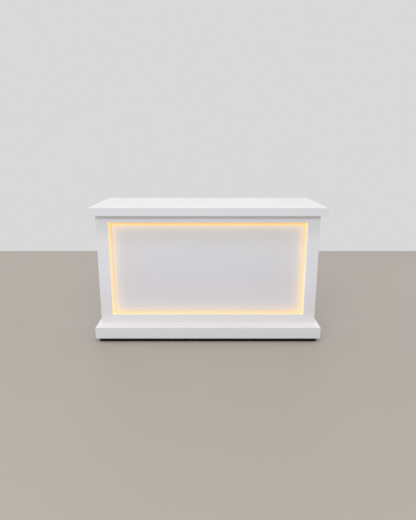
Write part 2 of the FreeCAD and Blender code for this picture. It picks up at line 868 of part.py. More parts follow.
def side_view(centre, points, x_low, x_high):
    """A plate cut to an outline of distances behind the swivel and heights, across X."""
    corners = [Vector(centre.x + x_low, centre.y + y, z) for y, z in points]
    return prism(corners, X_AXIS * (x_high - x_low))


def axle_at(centre):
    """The middle of the axle."""
    return Vector(centre.x, centre.y + castor_trail, wheel_radius)


def shoe_place(centre):
    """The middle of the brake shoe's face with the brake off, and the way out from the hub."""
    angle = math.radians(brake_angle)
    outward = Vector(0, math.cos(angle), math.sin(angle))
    return axle_at(centre) + outward * (wheel_radius + brake_gap), outward


def pedal_pivot(centre):
    """The pedal turns about a point that lets the shoe move straight at the hub."""
    shoe, outward = shoe_place(centre)
    return shoe + X_AXIS.cross(outward) * brake_arm


def castor_fork(centre, braked):
    """Crown, lower race and two legs, with ears for the pedal where there is one."""
    half = fork_length / 2
    crown = block((centre.x - leg_outer, centre.x + leg_outer),
                  (centre.y - half, centre.y + half), (crown_bottom, crown_top))
    race = rod(Vector(centre.x, centre.y, crown_top), Z_AXIS, crown_race_radius, crown_race_height)
    axle = axle_at(centre)
    leg = [(-half, crown_top), (half, crown_top), (castor_trail + axle_eye, wheel_radius),
           (castor_trail - axle_eye, wheel_radius)]
    pieces = [crown, race]
    bores = [rod(Vector(centre.x, centre.y, crown_bottom - fork_thickness), Z_AXIS,
                 kingpin_radius + running_fit, race_height + 3 * fork_thickness),
             rod(axle - X_AXIS * 2 * leg_outer, X_AXIS, axle_radius + running_fit, 4 * leg_outer)]
    pivot = pedal_pivot(centre)
    for low, high in ((-leg_outer, -leg_inner), (leg_inner, leg_outer)):
        pieces.append(side_view(centre, leg, low, high))
        pieces.append(rod(axle + X_AXIS * low, X_AXIS, axle_eye, high - low))
        if braked:
            reach = pivot.y - centre.y
            ear = [(0, pivot.z + pedal_ear_radius), (reach, pivot.z + pedal_ear_radius),
                   (reach, pivot.z - pedal_ear_radius), (0, pivot.z - pedal_ear_radius)]
            pieces.append(side_view(centre, ear, low, high))
            pieces.append(rod(pivot + X_AXIS * low, X_AXIS, pedal_ear_radius, high - low))
    if braked:
        bores.append(rod(pivot - X_AXIS * 2 * leg_outer, X_AXIS,
                         pedal_pivot_radius + running_fit, 4 * leg_outer))
    return fused(pieces).cut(bores).Solids[0]


def hexagon(place, direction):
    """A bolt's head or nut along X, from its seat outward, chamfered round its outer face."""
    reach = axle_head_flats / math.sqrt(3)
    corners = [place + Vector(0, reach * math.cos(turn), reach * math.sin(turn))
               for turn in spread(0, 5 * math.pi / 3, 6)]
    cone = Part.makeCone(axle_head_face + axle_head_height * math.sqrt(3), axle_head_face,
                         axle_head_height, place, direction)
    return prism(corners, direction * axle_head_height).common(cone).Solids[0]


def castor_axle(centre):
    """A bolt through both legs, with its head and nut outside them."""
    axle = axle_at(centre)
    shaft = rod(axle - X_AXIS * leg_outer, X_AXIS, axle_radius, 2 * leg_outer)
    head = hexagon(axle - X_AXIS * leg_outer, -X_AXIS)
    nut = hexagon(axle + X_AXIS * leg_outer, X_AXIS)
    return fused([shaft, head, nut])


def castor_wheel(centre):
    """Tyre, web and hub in one turned section about the axle."""
    axle = axle_at(centre)
    bore = axle_radius + running_fit
    rim = wheel_radius - rim_depth
    half_hub, half_web, half_tyre = hub_width / 2, web_width / 2, wheel_width / 2
    right = [(half_hub, bore), (half_hub, hub_radius), (half_web, hub_radius), (half_web, rim),
             (half_tyre, rim), (half_tyre, wheel_radius - tyre_round),
             (half_tyre - tyre_round, wheel_radius)]
    outline = right + [(-x, r) for x, r in reversed(right)]
    points = [axle + Vector(x, 0, r) for x, r in outline]
    section = Part.Face(Part.makePolygon(points + points[:1]))
    wheel = section.revolve(axle, X_AXIS, 360)
    return Part.Solid(wheel) if wheel.ShapeType != "Solid" else wheel


def brake_pedal(centre):
    """Lever with its trunnions, a shoe over the tyre and a tread for the foot."""
    pivot = pedal_pivot(centre)
    shoe_face, outward = shoe_place(centre)
    tangent = X_AXIS.cross(outward)
    half = leg_inner - lever_side_gap
    boss = rod(pivot - X_AXIS * half, X_AXIS, pedal_boss_radius, 2 * half)
    trunnions = rod(pivot - X_AXIS * leg_outer, X_AXIS, pedal_pivot_radius, 2 * leg_outer)

    rise = math.radians(pedal_rise)
    along = Vector(0, math.cos(rise), math.sin(rise))
    up = Vector(0, -math.sin(rise), math.cos(rise)) * pedal_thickness
    start = pivot + up * 0.5
    lever = prism([start - X_AXIS * half, start + X_AXIS * half,
                   start + X_AXIS * half + along * pedal_lever,
                   start - X_AXIS * half + along * pedal_lever], up)
    tread_half = pedal_tread_width / 2
    tread_start = start + along * (pedal_lever - pedal_tread_length)
    tread = prism([tread_start - X_AXIS * tread_half, tread_start + X_AXIS * tread_half,
                   tread_start + X_AXIS * tread_half + along * pedal_tread_length,
                   tread_start - X_AXIS * tread_half + along * pedal_tread_length], up * 1.4)

    near = shoe_face - tangent * (shoe_length / 2) - X_AXIS * (shoe_width / 2)
    shoe = prism([near, near + tangent * shoe_length,
                  near + tangent * shoe_length + outward * shoe_thickness,
                  near + outward * shoe_thickness], X_AXIS * shoe_width)
    over = start.z + (shoe_face.y - pivot.y) * math.tan(rise) + pedal_thickness / 2
    stem = block((centre.x - shoe_width / 2, centre.x + shoe_width / 2),
                 (shoe_face.y + shoe_thickness / 2, shoe_face.y + shoe_thickness * 1.5),
                 (shoe_face.z + shoe_thickness / 2, over))
    return fused([boss, trunnions, lever, tread, shoe, stem])


def castors():
    """Four swivel castors. The rear two have a brake pedal each."""
    places = castor_places()
    save("castor_plates", *[castor_plate(centre) for centre in places.values()])
    for name, centre in places.items():
        braked = name.startswith("rear")
        save(f"castor_fork_{name}", castor_fork(centre, braked))
        save(f"castor_axle_{name}", castor_axle(centre))
        save(f"castor_wheel_{name}", castor_wheel(centre))
        if braked:
            save(f"brake_pedal_{name}", brake_pedal(centre))


# ---------------------------------------------------------------- build

os.makedirs("parts", exist_ok=True)
countertop()
front_frame()
recess_returns()
display_panel()
light_profiles()
cabinet()
power_box()
power_entry()
light_cable()
plinth()
castors()
fasteners()
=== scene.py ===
# %% [markdown]
# # A bar counter with a lit recess
#
# The counter is a white laminated top and plinth with one footprint, and between them a
# narrower lacquered cabinet. A recess in its front is lit along its four edges. The shelves
# are on the other side, and four castors hide in the plinth.
#
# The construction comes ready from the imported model, piece by piece and at real size. These
# cells give every piece its finish, and add the small pieces that only matter to the eye.

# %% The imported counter
import math

import bmesh
import bpy
import numpy as np
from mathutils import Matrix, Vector


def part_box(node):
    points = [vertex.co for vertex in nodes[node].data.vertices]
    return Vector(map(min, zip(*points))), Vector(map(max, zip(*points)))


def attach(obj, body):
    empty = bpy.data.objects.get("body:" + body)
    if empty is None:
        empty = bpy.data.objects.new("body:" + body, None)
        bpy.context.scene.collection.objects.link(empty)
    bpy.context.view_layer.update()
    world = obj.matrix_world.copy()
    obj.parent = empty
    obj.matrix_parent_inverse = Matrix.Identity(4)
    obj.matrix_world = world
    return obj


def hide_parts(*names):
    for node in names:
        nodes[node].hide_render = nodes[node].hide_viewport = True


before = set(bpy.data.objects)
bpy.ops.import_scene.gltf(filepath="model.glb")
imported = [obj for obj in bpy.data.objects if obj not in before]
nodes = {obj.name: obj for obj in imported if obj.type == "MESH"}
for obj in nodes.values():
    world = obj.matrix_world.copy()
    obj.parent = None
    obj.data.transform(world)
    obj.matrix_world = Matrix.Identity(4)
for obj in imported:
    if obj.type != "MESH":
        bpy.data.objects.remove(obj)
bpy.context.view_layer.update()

# %% [markdown]
# ## Where things are
#
# A finish that is placed by hand goes wrong as soon as the counter changes size. So the
# planes and edges that the finishes need are read here, once, from the boxes of the pieces.
# A cell that adds a piece reads the box of what the piece sits on.

# %% Planes and edges, in metres
opening_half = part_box("front_right_stile")[0].x
opening_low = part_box("front_bottom_rail")[1].z
opening_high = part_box("front_top_rail")[0].z
face_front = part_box("front_top_rail")[0].y
panel_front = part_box("display_panel")[0].y
sheet_half_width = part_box("countertop_panel")[1].x
sheet_half_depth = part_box("countertop_panel")[1].y
board_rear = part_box("cabinet_floor")[1].y
shelf_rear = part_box("shelf_left_upper")[1].y
deck_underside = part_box("plinth_deck")[0].z
side_skirt_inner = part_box("plinth_right_skirt")[0].x
front_skirt_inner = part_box("plinth_front_skirt")[1].y
stretcher_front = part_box("plinth_stretcher")[0].y
print(f"recess {2 * opening_half:.3f} by {opening_high - opening_low:.3f} m, "
      f"{panel_front - face_front:.3f} m deep")

# %% [markdown]
# ## Arithmetic that writes shader nodes
#
# A shader is a graph. It could be drawn by hand in the shader editor, or written as a list
# of nodes and links, but either is slow to write and hard to read. The `Number` class wraps
# one socket instead. Python's own operators on it add the Math nodes, so that a pattern
# reads as a formula, such as `1 - mask * 0.2`. Every other kind of node comes from one
# method of `Graph`, which sets the node's own settings first and its sockets after.

# %% Numbers that vary over a surface


class Number:
    """A socket that carries a number. An operator on it adds a Math node and gives a new one."""

    def __init__(self, graph, socket):
        self.graph = graph
        self.socket = socket

    def math(self, operation, *values):
        """The Math node of that operation on the values, in order."""
        return self.graph.number("Math", {"operation": operation}, dict(enumerate(values)))

    def __add__(self, other):
        return self.math("ADD", self, other)

    def __sub__(self, other):
        return self.math("SUBTRACT", self, other)

    def __rsub__(self, other):
        return self.math("SUBTRACT", other, self)

    def __mul__(self, other):
        return self.math("MULTIPLY", self, other)

    def __truediv__(self, other):
        return self.math("DIVIDE", self, other)

    def __abs__(self):
        return self.math("ABSOLUTE", self)

    __radd__ = __add__
    __rmul__ = __mul__

    def most(self, other):
        """The larger of the two."""
        return self.math("MAXIMUM", self, other)

    def either(self, other):
        """The union of two shares of light: a + b - a * b."""
        return self + other - self * other

    def near(self, value, reach):
        """1 within the reach of a value, and 0 elsewhere."""
        return self.math("COMPARE", self, value, reach)

    def apart(self, pitch):
        """The distance to the nearest of lines that lie a pitch apart, one of them at 0."""
        return self.math("PINGPONG", self, pitch / 2)

    def spill(self, reach):
        """Light beside a line of it: (1 + (distance / reach) ** 2) ** -1.5."""
        share = self / reach
        return self.math("POWER", share * share + 1, -1.5)

    def fade(self, start, end):
        """A smooth step, 0 at the start and 1 at the end. The start may be the larger."""
        return self.graph.number("MapRange", {"interpolation_type": "SMOOTHSTEP"},
                                 {"Value": self, "From Min": start, "From Max": end})


# %% A tree of nodes


class Graph:
    """A node tree while it is written."""

    def __init__(self, tree):
        self.tree = tree

    def node(self, kind, settings=None, inputs=None):
        """Any node: its type, its settings, then a value or a link for each socket."""
        made = self.tree.nodes.new("ShaderNode" + kind)
        for name, value in (settings or {}).items():
            setattr(made, name, value)
        for name, value in (inputs or {}).items():
            self.join(made.inputs[name], value)
        return made

    def join(self, socket, value):
        """Links a Number or a socket, and sets anything else as the socket's value."""
        value = value.socket if isinstance(value, Number) else value
        if isinstance(value, bpy.types.NodeSocket):
            self.tree.links.new(value, socket)
        else:
            socket.default_value = value

    def number(self, kind, settings, inputs):
        """The first output of a node, as a Number."""
        return Number(self, self.node(kind, settings, inputs).outputs[0])

    def mixed(self, factor, first, second, blend="MIX"):
        """A colour between two colours, or the second one's blend over the first."""
        inputs = {0: factor, 6: first, 7: second}
        return self.node("Mix", {"data_type": "RGBA", "blend_type": blend}, inputs).outputs[2]


# %% [markdown]
# ## A finish
#
# On the real counter a finish is what leaves the spray booth or the laminate press. Here it
# is one material. All of them start from the same shader, read the object's own coordinates
# in metres, and then differ in a few ways: colours laid over each other, a relief and a
# roughness. The `Finish` class holds those few ways, so a new finish takes a few lines.

# %% One finish, which is one material
cloud_least = 0.05


class Finish(Graph):
    """A material while it is made: a Principled shader and the nodes that vary its sockets."""

    def __init__(self, name, colour, roughness, metallic=0.0, specular=0.5):
        self.material = bpy.data.materials.new(name)
        self.material.use_nodes = True
        super().__init__(self.material.node_tree)
        self.shader = self.tree.nodes["Principled BSDF"]
        self.colour = (*colour, 1)
        self.set("Base Color", self.colour)
        self.set("Roughness", roughness)
        self.set("Metallic", metallic)
        self.set("Specular IOR Level", specular)
        self.where = self.node("TexCoord").outputs["Object"]
        split = self.node("SeparateXYZ", None, {0: self.where})
        self.x, self.y, self.z = [Number(self, socket) for socket in split.outputs]
        self.relief = None
        self.height = 0.0

    def set(self, socket, value):
        """Gives one of the shader's own sockets a value or a link."""
        self.join(self.shader.inputs[socket], value)

    def noise(self, size, detail=2.0, seed=0.0):
        """Smooth noise about 0.5. Its size is one length, or one along each axis."""
        size = size if isinstance(size, tuple) else (size, size, size)
        scaled = self.node("Mapping", None, {"Vector": self.where, "Location": (seed, seed, seed),
                                             "Scale": tuple(1 / length for length in size)})
        return self.number("TexNoise", None, {"Vector": scaled.outputs[0], "Scale": 1.0,
                                              "Detail": detail})

    def tint(self, factor, colour, blend="MIX"):
        """Lays a colour over the base colour, where the factor says."""
        self.colour = self.mixed(factor, self.colour, (*colour, 1), blend)
        self.set("Base Color", self.colour)

    def cloud(self, size, share, colour, detail=1, seed=0.0):
        """Lays a colour over the base colour in soft clouds, and a little of it everywhere."""
        self.tint((self.noise(size, detail, seed) - 0.5) * share + cloud_least, colour)

    def raise_by(self, height):
        """Adds a height in metres to the surface's relief, which is one Bump node."""
        if self.relief is None:
            self.relief = self.node("Bump", None, {"Distance": 1.0, "Strength": 1.0})
            self.set("Normal", self.relief.outputs[0])
        self.height = height + self.height
        self.join(self.relief.inputs["Height"], self.height)

    def put_on(self, *pieces):
        """Gives the finish to pieces: nodes by their names, and new pieces as they are."""
        for piece in pieces:
            dress(nodes[piece] if isinstance(piece, str) else piece, self.material)
        print(f"pieces with {self.material.name}: {len(pieces)}")


def dress(piece, material):
    """Makes a material the only one of a piece."""
    piece.data.materials.clear()
    piece.data.materials.append(material)


def screen_colour(red, green, blue):
    """The linear colour of 8-bit screen values: ((v + 0.055) / 1.055) ** 2.4."""
    value = np.array((red, green, blue)) / 255
    return tuple(float(v) for v in ((value + 0.055) / 1.055) ** 2.4)


print("mid grey on a screen is", round(screen_colour(128, 128, 128)[0], 3), "as light")

# %% [markdown]
# ## The camera
#
# The camera stands in front of the middle of the counter at a person's eye height and looks
# down, without any roll or shift. From further back, with a longer lens, the top would look
# flatter. From here it shows as much of the top as a customer sees on the way in.

# %% Camera
lens = 30.18
eye_distance, eye_height = 3.674, 1.516
look_down = 14.07

camera_data = bpy.data.cameras.new("camera")
camera_data.lens = lens
camera = bpy.data.objects.new("camera", camera_data)
camera.location = (0, -eye_distance, eye_height)
camera.rotation_euler = (math.radians(90 - look_down), 0, 0)
bpy.context.scene.collection.objects.link(camera)
bpy.context.scene.camera = camera
print(f"camera {eye_height:.2f} m up, looking down by {look_down} degrees, lens {lens} mm")

# %% [markdown]
# ## The room
#
# A studio has a grey wall behind a pale floor. The wall could be a plane, but a plane would
# hide the counter from one side and throw light back at the other. So it is the world's
# colour, and only for the camera and for reflections. All other rays see an even, neutral
# light, so another backdrop would hardly change the counter.

# %% World and floor
backdrop = screen_colour(217, 217, 217)
fill_light = 0.50
floor_side, floor_near, floor_far = 14.0, -14.0, 2.95


def make_world():
    """An even light for diffuse rays, and the backdrop for what is seen or reflected."""
    world = bpy.data.worlds.new("studio")
    world.use_nodes = True
    graph = Graph(world.node_tree)
    path = graph.node("LightPath")
    kinds = ("Is Camera Ray", "Is Glossy Ray", "Is Transmission Ray")
    camera_ray, glossy_ray, clear_ray = [Number(graph, path.outputs[kind]) for kind in kinds]
    seen = camera_ray.most(glossy_ray).most(clear_ray)
    colour = graph.mixed(seen, (fill_light, fill_light, fill_light, 1), (*backdrop, 1))
    graph.join(graph.tree.nodes["Background"].inputs["Color"], colour)
    bpy.context.scene.world = world


def make_floor():
    """A flat floor that ends behind the counter, where the backdrop begins."""
    finish = Finish("pale_floor", screen_colour(185, 178, 170), 0.6, specular=0.25)
    corners = [(-floor_side, floor_near, 0), (floor_side, floor_near, 0),
               (floor_side, floor_far, 0), (-floor_side, floor_far, 0)]
    mesh = bpy.data.meshes.new("floor")
    mesh.from_pydata(corners, [], [(0, 1, 2, 3)])
    floor = bpy.data.objects.new("floor", mesh)
    dress(floor, finish.material)
    bpy.context.scene.collection.objects.link(floor)


bpy.context.scene.view_settings.view_transform = "Standard"
make_world()
make_floor()
print(f"floor {2 * floor_side:.0f} m wide, fill light {fill_light}")

# %% [markdown]
# ## The lamps
#
# A white object shows its shape only through shade, so the light has to be soft and still
# come from somewhere. A wide panel overhead lights the top. One in front, a little to the
# left, lights the face, one on each side lights an end panel, and one behind lights the
# shelves. Small lamps would throw a hard shadow under the top and under every shelf. The front
# panel is left out of reflections, so that it doesn't burn a white patch into the top when
# that is seen from behind.

# %% Five panels of light


def make_lamp(name, place, target, width, height, power):
    """A rectangular area lamp that points at a target."""
    data = bpy.data.lights.new(name, "AREA")
    data.shape = "RECTANGLE"
    data.size, data.size_y = width, height
    data.energy = power
    lamp = bpy.data.objects.new(name, data)
    lamp.location = place
    lamp.rotation_euler = (Vector(target) - Vector(place)).to_track_quat("-Z", "Y").to_euler()
    bpy.context.scene.collection.objects.link(lamp)
    return lamp


overhead = make_lamp("overhead", (0, -2.6, 4.2), (0, -0.2, 0.3), 3.0, 1.2, 29)
front = make_lamp("front", (-1.1, -6.0, 2.9), (0, 0, 1.0), 7.0, 1.0, 131)
left = make_lamp("left", (-6.0, 0.6, 2.6), (0, 0.3, 0.6), 4.0, 1.0, 70)
right = make_lamp("right", (6.0, 0.6, 2.6), (0, 0.3, 0.6), 4.0, 1.0, 70)
rear = make_lamp("rear", (0, 5.2, 3.9), (0, 0.3, 0.6), 6.0, 0.8, 74)
front.visible_glossy = False
for lamp in (overhead, front, left, right, rear):
    print(f"{lamp.name}: {lamp.data.energy:.0f} W")

# %% [markdown]
# ## Laminate
#
# The skins of the top and the boards of the plinth are chipboard faced with white melamine.
# The press plate leaves a fine pearl texture, and years of wiping leave the gloss slightly
# uneven. Both could be scanned into image textures, but those have seams and run out of
# detail from near. Noise has neither fault. It is written at its real size, so it only shows
# from near, as the real texture does.
#
# The plinth's board is whiter than the top, as painted light on its ledge under the top's overhang.
# Inside its front bay it is painted black, as painted shade, because white board there would shine
# through the gap over the floor.

# %% White laminate on the top and the plinth
laminate_white = screen_colour(240, 240, 241)
laminate_cloud = screen_colour(233, 232, 232)
# Painted light: the plinth's board is whiter than the top's, so its ledge under the overhang shows
# as bright as the top.
plinth_painted_light_white = screen_colour(250, 248, 249)
# Painted shade: the black inside the plinth's front bay, and where it starts.
bay_shade_black = screen_colour(24, 24, 25)
bay_shade_edge = (0.0002, 0.0008)
bay_shade_under_deck = 0.001
bay_shade_on_stretcher = (0.001, 0.002)
coarse_pearl = 2.7
wipe_size = (0.22, 0.09, 0.09)


def pearl(finish, size, height):
    """A pressed pearl texture: two sizes of soft noise, as a relief in metres."""
    coarse = finish.noise(size * coarse_pearl, seed=9.0)
    finish.raise_by((finish.noise(size) + coarse) * height)


def wiped(finish, base, spread):
    """Roughness that wanders where the surface has been wiped."""
    cloudy = finish.noise(wipe_size, detail=3, seed=3.0)
    finish.set("Roughness", (cloudy - 0.5) * spread + base)


def white_laminate(name, colour):
    """Melamine-faced board."""
    finish = Finish(name, colour, 0.42, specular=0.4)
    finish.cloud(0.6, 0.25, laminate_cloud)
    pearl(finish, 0.0011, 2.2e-5)
    wiped(finish, 0.42, 0.16)
    return finish


def ledge_laminate():
    """The plinth's board: whiter as painted light, and black as painted shade where it looks into
    the front bay.

    The bay is what lies inside the side skirts, behind the front skirt, under the deck and in
    front of the stretcher. So a place is painted black as shade unless it is outside one of the
    four.
    """
    finish = white_laminate("ledge_laminate", plinth_painted_light_white)
    start, end = bay_shade_edge
    beside = abs(finish.x).fade(side_skirt_inner + start, side_skirt_inner + end)
    before = finish.y.fade(front_skirt_inner - start, front_skirt_inner - end)
    above = finish.z.fade(deck_underside, deck_underside + bay_shade_under_deck)
    start, end = bay_shade_on_stretcher
    behind = finish.y.fade(stretcher_front + start, stretcher_front + end)
    # Painted shade: the bay turns black, so the gap under the plinth reads dark.
    finish.tint(1 - beside.most(before).most(above).most(behind), bay_shade_black)
    return finish


white_laminate("white_laminate", laminate_white).put_on(
    "countertop_panel", "countertop_underside_panel")
ledge_laminate().put_on("plinth_deck", "plinth_front_skirt", "plinth_left_skirt",
                        "plinth_right_skirt", "plinth_stretcher")

# %% [markdown]
# ## Edging
#
# A 2 mm plastic band is glued round the top and the plinth and its corners are eased. From
# near, two things give a band away: a hairline of glue where it meets the sheet, and a
# slightly glossier surface than the laminate beside it. The hairline could be a gap between
# the two pieces, but glue fills it flush. So it is a mask: 1 within a third of a millimetre
# of the plane where band and sheet meet.

# %% White edging
edging_white = screen_colour(230, 231, 236)
glue_line = 0.0003
glue_colour = screen_colour(176, 172, 164)
glue_share = 0.5


def white_edging():
    """Plastic edge band with its glue line."""
    finish = Finish("white_edging", edging_white, 0.34, specular=0.45)
    glue = abs(finish.x).near(sheet_half_width, glue_line).most(
        abs(finish.y).near(sheet_half_depth, glue_line))
    finish.tint(glue * glue_share, glue_colour)
    pearl(finish, 0.0016, 1.2e-5)
    wiped(finish, 0.34, 0.12)
    return finish


white_edging().put_on("countertop_edge_bands", "plinth_edge_bands")

# %% [markdown]
# ## Lacquer
#
# The cabinet is sprayed with satin lacquer. Sprayed lacquer dries with a long, soft ripple
# that painters call orange peel. It shows in reflections, never in the colour, so it is
# relief alone. Towards the plinth the white turns slightly grey. That could be painted by hand on
# a texture. A smooth step of the height does the same on every side at once.

# %% White lacquer
lacquer_white = screen_colour(237, 239, 246)
lacquer_cloud = screen_colour(229, 231, 238)
lacquer_grey = screen_colour(230, 229, 232)
lacquer_greying = (opening_low + 0.35, opening_low - 0.02)


def lacquer(name):
    """Satin sprayed lacquer."""
    finish = Finish(name, lacquer_white, 0.36, specular=0.45)
    finish.cloud(0.5, 0.25, lacquer_cloud, seed=5.0)
    finish.tint(finish.z.fade(*lacquer_greying), lacquer_grey)
    pearl(finish, 0.004, 4.0e-5)
    wiped(finish, 0.36, 0.1)
    return finish


lacquer("white_lacquer").put_on("left_end_panel", "right_end_panel")

# %% [markdown]
# ## The lit recess
#
# A light tape shines in each corner between the recess's edge and its back panel, behind an
# opal cover. From there the light runs forward over the sides of the recess, and spills over
# about ten centimetres of the panel. Next to the cover the warm light outweighs the room's
# own, which is why the white board turns amber there and only looks peach further out.
#
# Lamps behind the covers would give that too, but with noise, and they don't travel with the
# model. So the glow is a formula of the distance to the recess's edges. It goes to Emission
# Color, and its amber part to Base Color. It is there from any side, it has no noise, and it
# stays with the counter when the model goes elsewhere.

# %% The light's share at a place in the recess
peach_light = (0.31, 0.14, 0.01)
peach_reach = 0.050
peach_bottom = 0.70
cover_height = 0.012
amber = (1.0, 0.89, 0.54)
amber_light = (0.12, 0.09, 0.05)
amber_reach = 0.028
amber_side = 0.4
amber_bottom = 0.7
amber_top = (0.038, 0.024)


def light_shares(finish):
    """How much of the light's peach spill, and of its amber core, reaches a place.

    Each is the union of what comes from the sides, the bottom and the top. The core has the
    shorter reach, and along the top it is an even band that fades out.
    """
    side = opening_half - abs(finish.x)
    top = opening_high - finish.z
    bottom = finish.z - opening_low
    spill = side.spill(peach_reach).either(bottom.spill(peach_reach) * peach_bottom).either(
        (top - cover_height).spill(peach_reach))
    core = side.spill(amber_reach).either(bottom.spill(amber_reach) * amber_bottom) * amber_side
    return spill, core.either(top.fade(*amber_top))


def lit(finish, spill, core, light):
    """Adds the light: its spill as emission, and its core as an amber base colour as well."""
    finish.tint(core, amber, "MULTIPLY")
    glow = finish.mixed(spill, (0, 0, 0, 1), (*light, 1))
    finish.set("Emission Color", finish.mixed(core, glow, (*amber_light, 1), "ADD"))
    finish.set("Emission Strength", 1.0)


print(f"spill at its reach: {2 ** -1.5:.2f}, at twice its reach: {5 ** -1.5:.2f}")

# %% [markdown]
# ## The sides of the recess
#
# The light reaches only those faces of the frame and of the returns that look into the
# recess. The usual way is a second material on chosen faces. A mask does without it, and
# leaves every piece whole: a face is told by its place, on one of the opening's four planes
# and behind the frame's front.

# %% Glow on the sides
return_light = (0.33, 0.34, 0.19)
plane_slack = 0.0006
front_round = 0.002
end_spill = 0.62
side_amber, end_amber = 0.15, 0.55


def lit_lacquer():
    """Lacquer with the light on the two sides, and less of it on the top and the bottom."""
    finish = lacquer("lit_lacquer")
    across = abs(finish.x)
    behind = finish.y.fade(face_front, face_front + front_round)
    sides = across.near(opening_half, plane_slack) * behind
    sides = sides * finish.z.fade(opening_low - plane_slack, opening_low)
    sides = sides * finish.z.fade(opening_high + plane_slack, opening_high)
    ends = finish.z.near(opening_low, plane_slack).most(finish.z.near(opening_high, plane_slack))
    ends = ends * behind * across.fade(opening_half + plane_slack, opening_half)
    amber_share = sides * side_amber + ends * end_amber
    lit(finish, sides.most(ends * end_spill), amber_share, return_light)
    return finish


lit_lacquer().put_on("front_left_stile", "front_right_stile", "front_top_rail",
                     "front_bottom_rail", "recess_left_return", "recess_right_return",
                     "recess_top_return", "recess_bottom_return")

# %% [markdown]
# ## The display panel
#
# The panel at the back of the recess is smooth laminate. It is painted lighter towards the top and
# greyer towards the bottom, as painted light against the shade that the overhanging top casts on
# it.
# It has no grain or joint that an eye could hold on to, so the gradient and the glow along its
# edges are all that make it look lit.

# %% Glow on the panel
panel_white = screen_colour(230, 231, 237)
panel_shaded_grey = screen_colour(226, 226, 232)
panel_painted_light = (opening_high - 0.05, opening_low + 0.15)


def display_laminate():
    """Smooth laminate with the light along its four edges."""
    finish = Finish("display_laminate", panel_white, 0.4, specular=0.35)
    # Painted light: lighter towards the top, where the top's overhang shades the panel, greyer
    # below.
    finish.tint(finish.z.fade(*panel_painted_light), panel_shaded_grey)
    pearl(finish, 0.0014, 1.5e-5)
    wiped(finish, 0.4, 0.12)
    lit(finish, *light_shares(finish), peach_light)
    return finish


display_laminate().put_on("display_panel")

# %% [markdown]
# ## The light profile
#
# A tape with a light chip every centimetre lies in an aluminium channel, and a frosted cover
# blurs the chips into an even line. The cover takes its glow from the same formula as the
# panel, so the two meet without a step. A translucent shader would let real light
# through, but it is slow and noisy, and most file formats drop it. Dust lies on the lower
# cover and dulls it a little.

# %% Opal cover, channel and tape
opal_white = screen_colour(244, 232, 210)
opal_dust = screen_colour(237, 222, 199)
dust_height = (opening_low + 0.03, opening_low + 0.02)
chip_pitch = 0.01
chip_half = (0.0018, 0.0016)
chip_rise = 2e-4
grain_gloss = 0.25


def opal_cover():
    """Frosted cover, lit warm white from behind, with dust on the lower one."""
    finish = Finish("opal_cover", opal_white, 0.5, specular=0.3)
    finish.tint(finish.z.fade(*dust_height), opal_dust)
    lit(finish, *light_shares(finish), peach_light)
    return finish


def brushed(name, colour, roughness, grain, height):
    """Metal with a grain: noise stretched along it, in relief and in roughness."""
    finish = Finish(name, colour, roughness, metallic=1.0)
    lines = finish.noise(grain, detail=3)
    finish.raise_by(lines * height)
    finish.set("Roughness", (lines - 0.5) * grain_gloss + roughness)
    return finish


def light_tape():
    """White flexible circuit with its yellow chips, which stand a little proud."""
    finish = Finish("light_tape", screen_colour(242, 240, 232), 0.5)
    chip = (finish.x + finish.z).apart(chip_pitch).fade(*chip_half)
    finish.tint(chip, screen_colour(238, 205, 96))
    finish.raise_by(chip * chip_rise)
    return finish


opal_cover().put_on("led_diffusers")
brushed("aluminium", screen_colour(212, 212, 214), 0.38, (0.02, 0.0004, 0.02), 6e-6).put_on(
    "led_channels")
light_tape().put_on("led_tapes")

# %% [markdown]
# ## Inside the cabinet
#
# The shelves and the lining are melamine-faced board with a drier, finer texture than the
# outside. Their rear edges carry a 1 mm band, which shows as a hairline of glue on the faces.
# The band could be a piece of its own, but it is flush and of the same white, so the line is
# all that anyone sees of it. Inside the top and the joints there is raw wood, which only
# shows with a piece taken off. It gets a grain, which is noise stretched along the board.

# %% Shelf laminate and raw wood
shelf_white = screen_colour(237, 237, 236)
shelf_cloud = screen_colour(228, 227, 224)
band_thickness = 0.001
core_grain, core_relief = (0.05, 0.003, 0.003), 1e-4
fleck_size, fleck_range = (0.004, 0.0006, 0.0006), (0.6, 0.7)
beech_grain, beech_relief = (0.02, 0.0008, 0.0008), 3e-5


def shelf_laminate(name, rear):
    """Fine-textured melamine-faced board, with the glue of its edge band near the rear edge."""
    finish = Finish(name, shelf_white, 0.5, specular=0.35)
    finish.cloud(0.4, 0.3, shelf_cloud, detail=2, seed=7.0)
    finish.tint(finish.y.near(rear - band_thickness, glue_line) * glue_share, glue_colour)
    pearl(finish, 0.0008, 2.0e-5)
    wiped(finish, 0.5, 0.14)
    return finish


shelf_laminate("board_laminate", board_rear).put_on(
    "cabinet_floor", "cabinet_top_board", "service_back_panel", "centre_partition")
shelf_laminate("shelf_laminate", shelf_rear).put_on(
    "shelf_left_lower", "shelf_left_upper", "shelf_right_lower", "shelf_right_upper")


def core_board():
    """Raw sawn strips inside the top."""
    finish = Finish("core_board", screen_colour(206, 184, 148), 0.8, specular=0.2)
    grain = finish.noise(core_grain, detail=5)
    finish.tint(grain, screen_colour(184, 158, 120))
    finish.raise_by(grain * core_relief)
    return finish


def beech():
    """Turned beech with short dark flecks."""
    finish = Finish("beech", screen_colour(222, 192, 150), 0.6, specular=0.3)
    flecks = finish.noise(fleck_size, detail=3).fade(*fleck_range)
    finish.tint(flecks, screen_colour(186, 148, 106))
    finish.raise_by(finish.noise(beech_grain, detail=3) * beech_relief)
    return finish


core_board().put_on("countertop_core")
beech().put_on("wooden_dowels")

# %% [markdown]
# ## Metal, plastic and powder coat
#
# The castors, screws, cable, switch and power box are bought-in hardware. Three recipes
# cover them: metal with a grain, plastic with the texture of its mould, and powder coat with
# its orange peel. A plain grey or black would look like a placeholder beside the laminate.

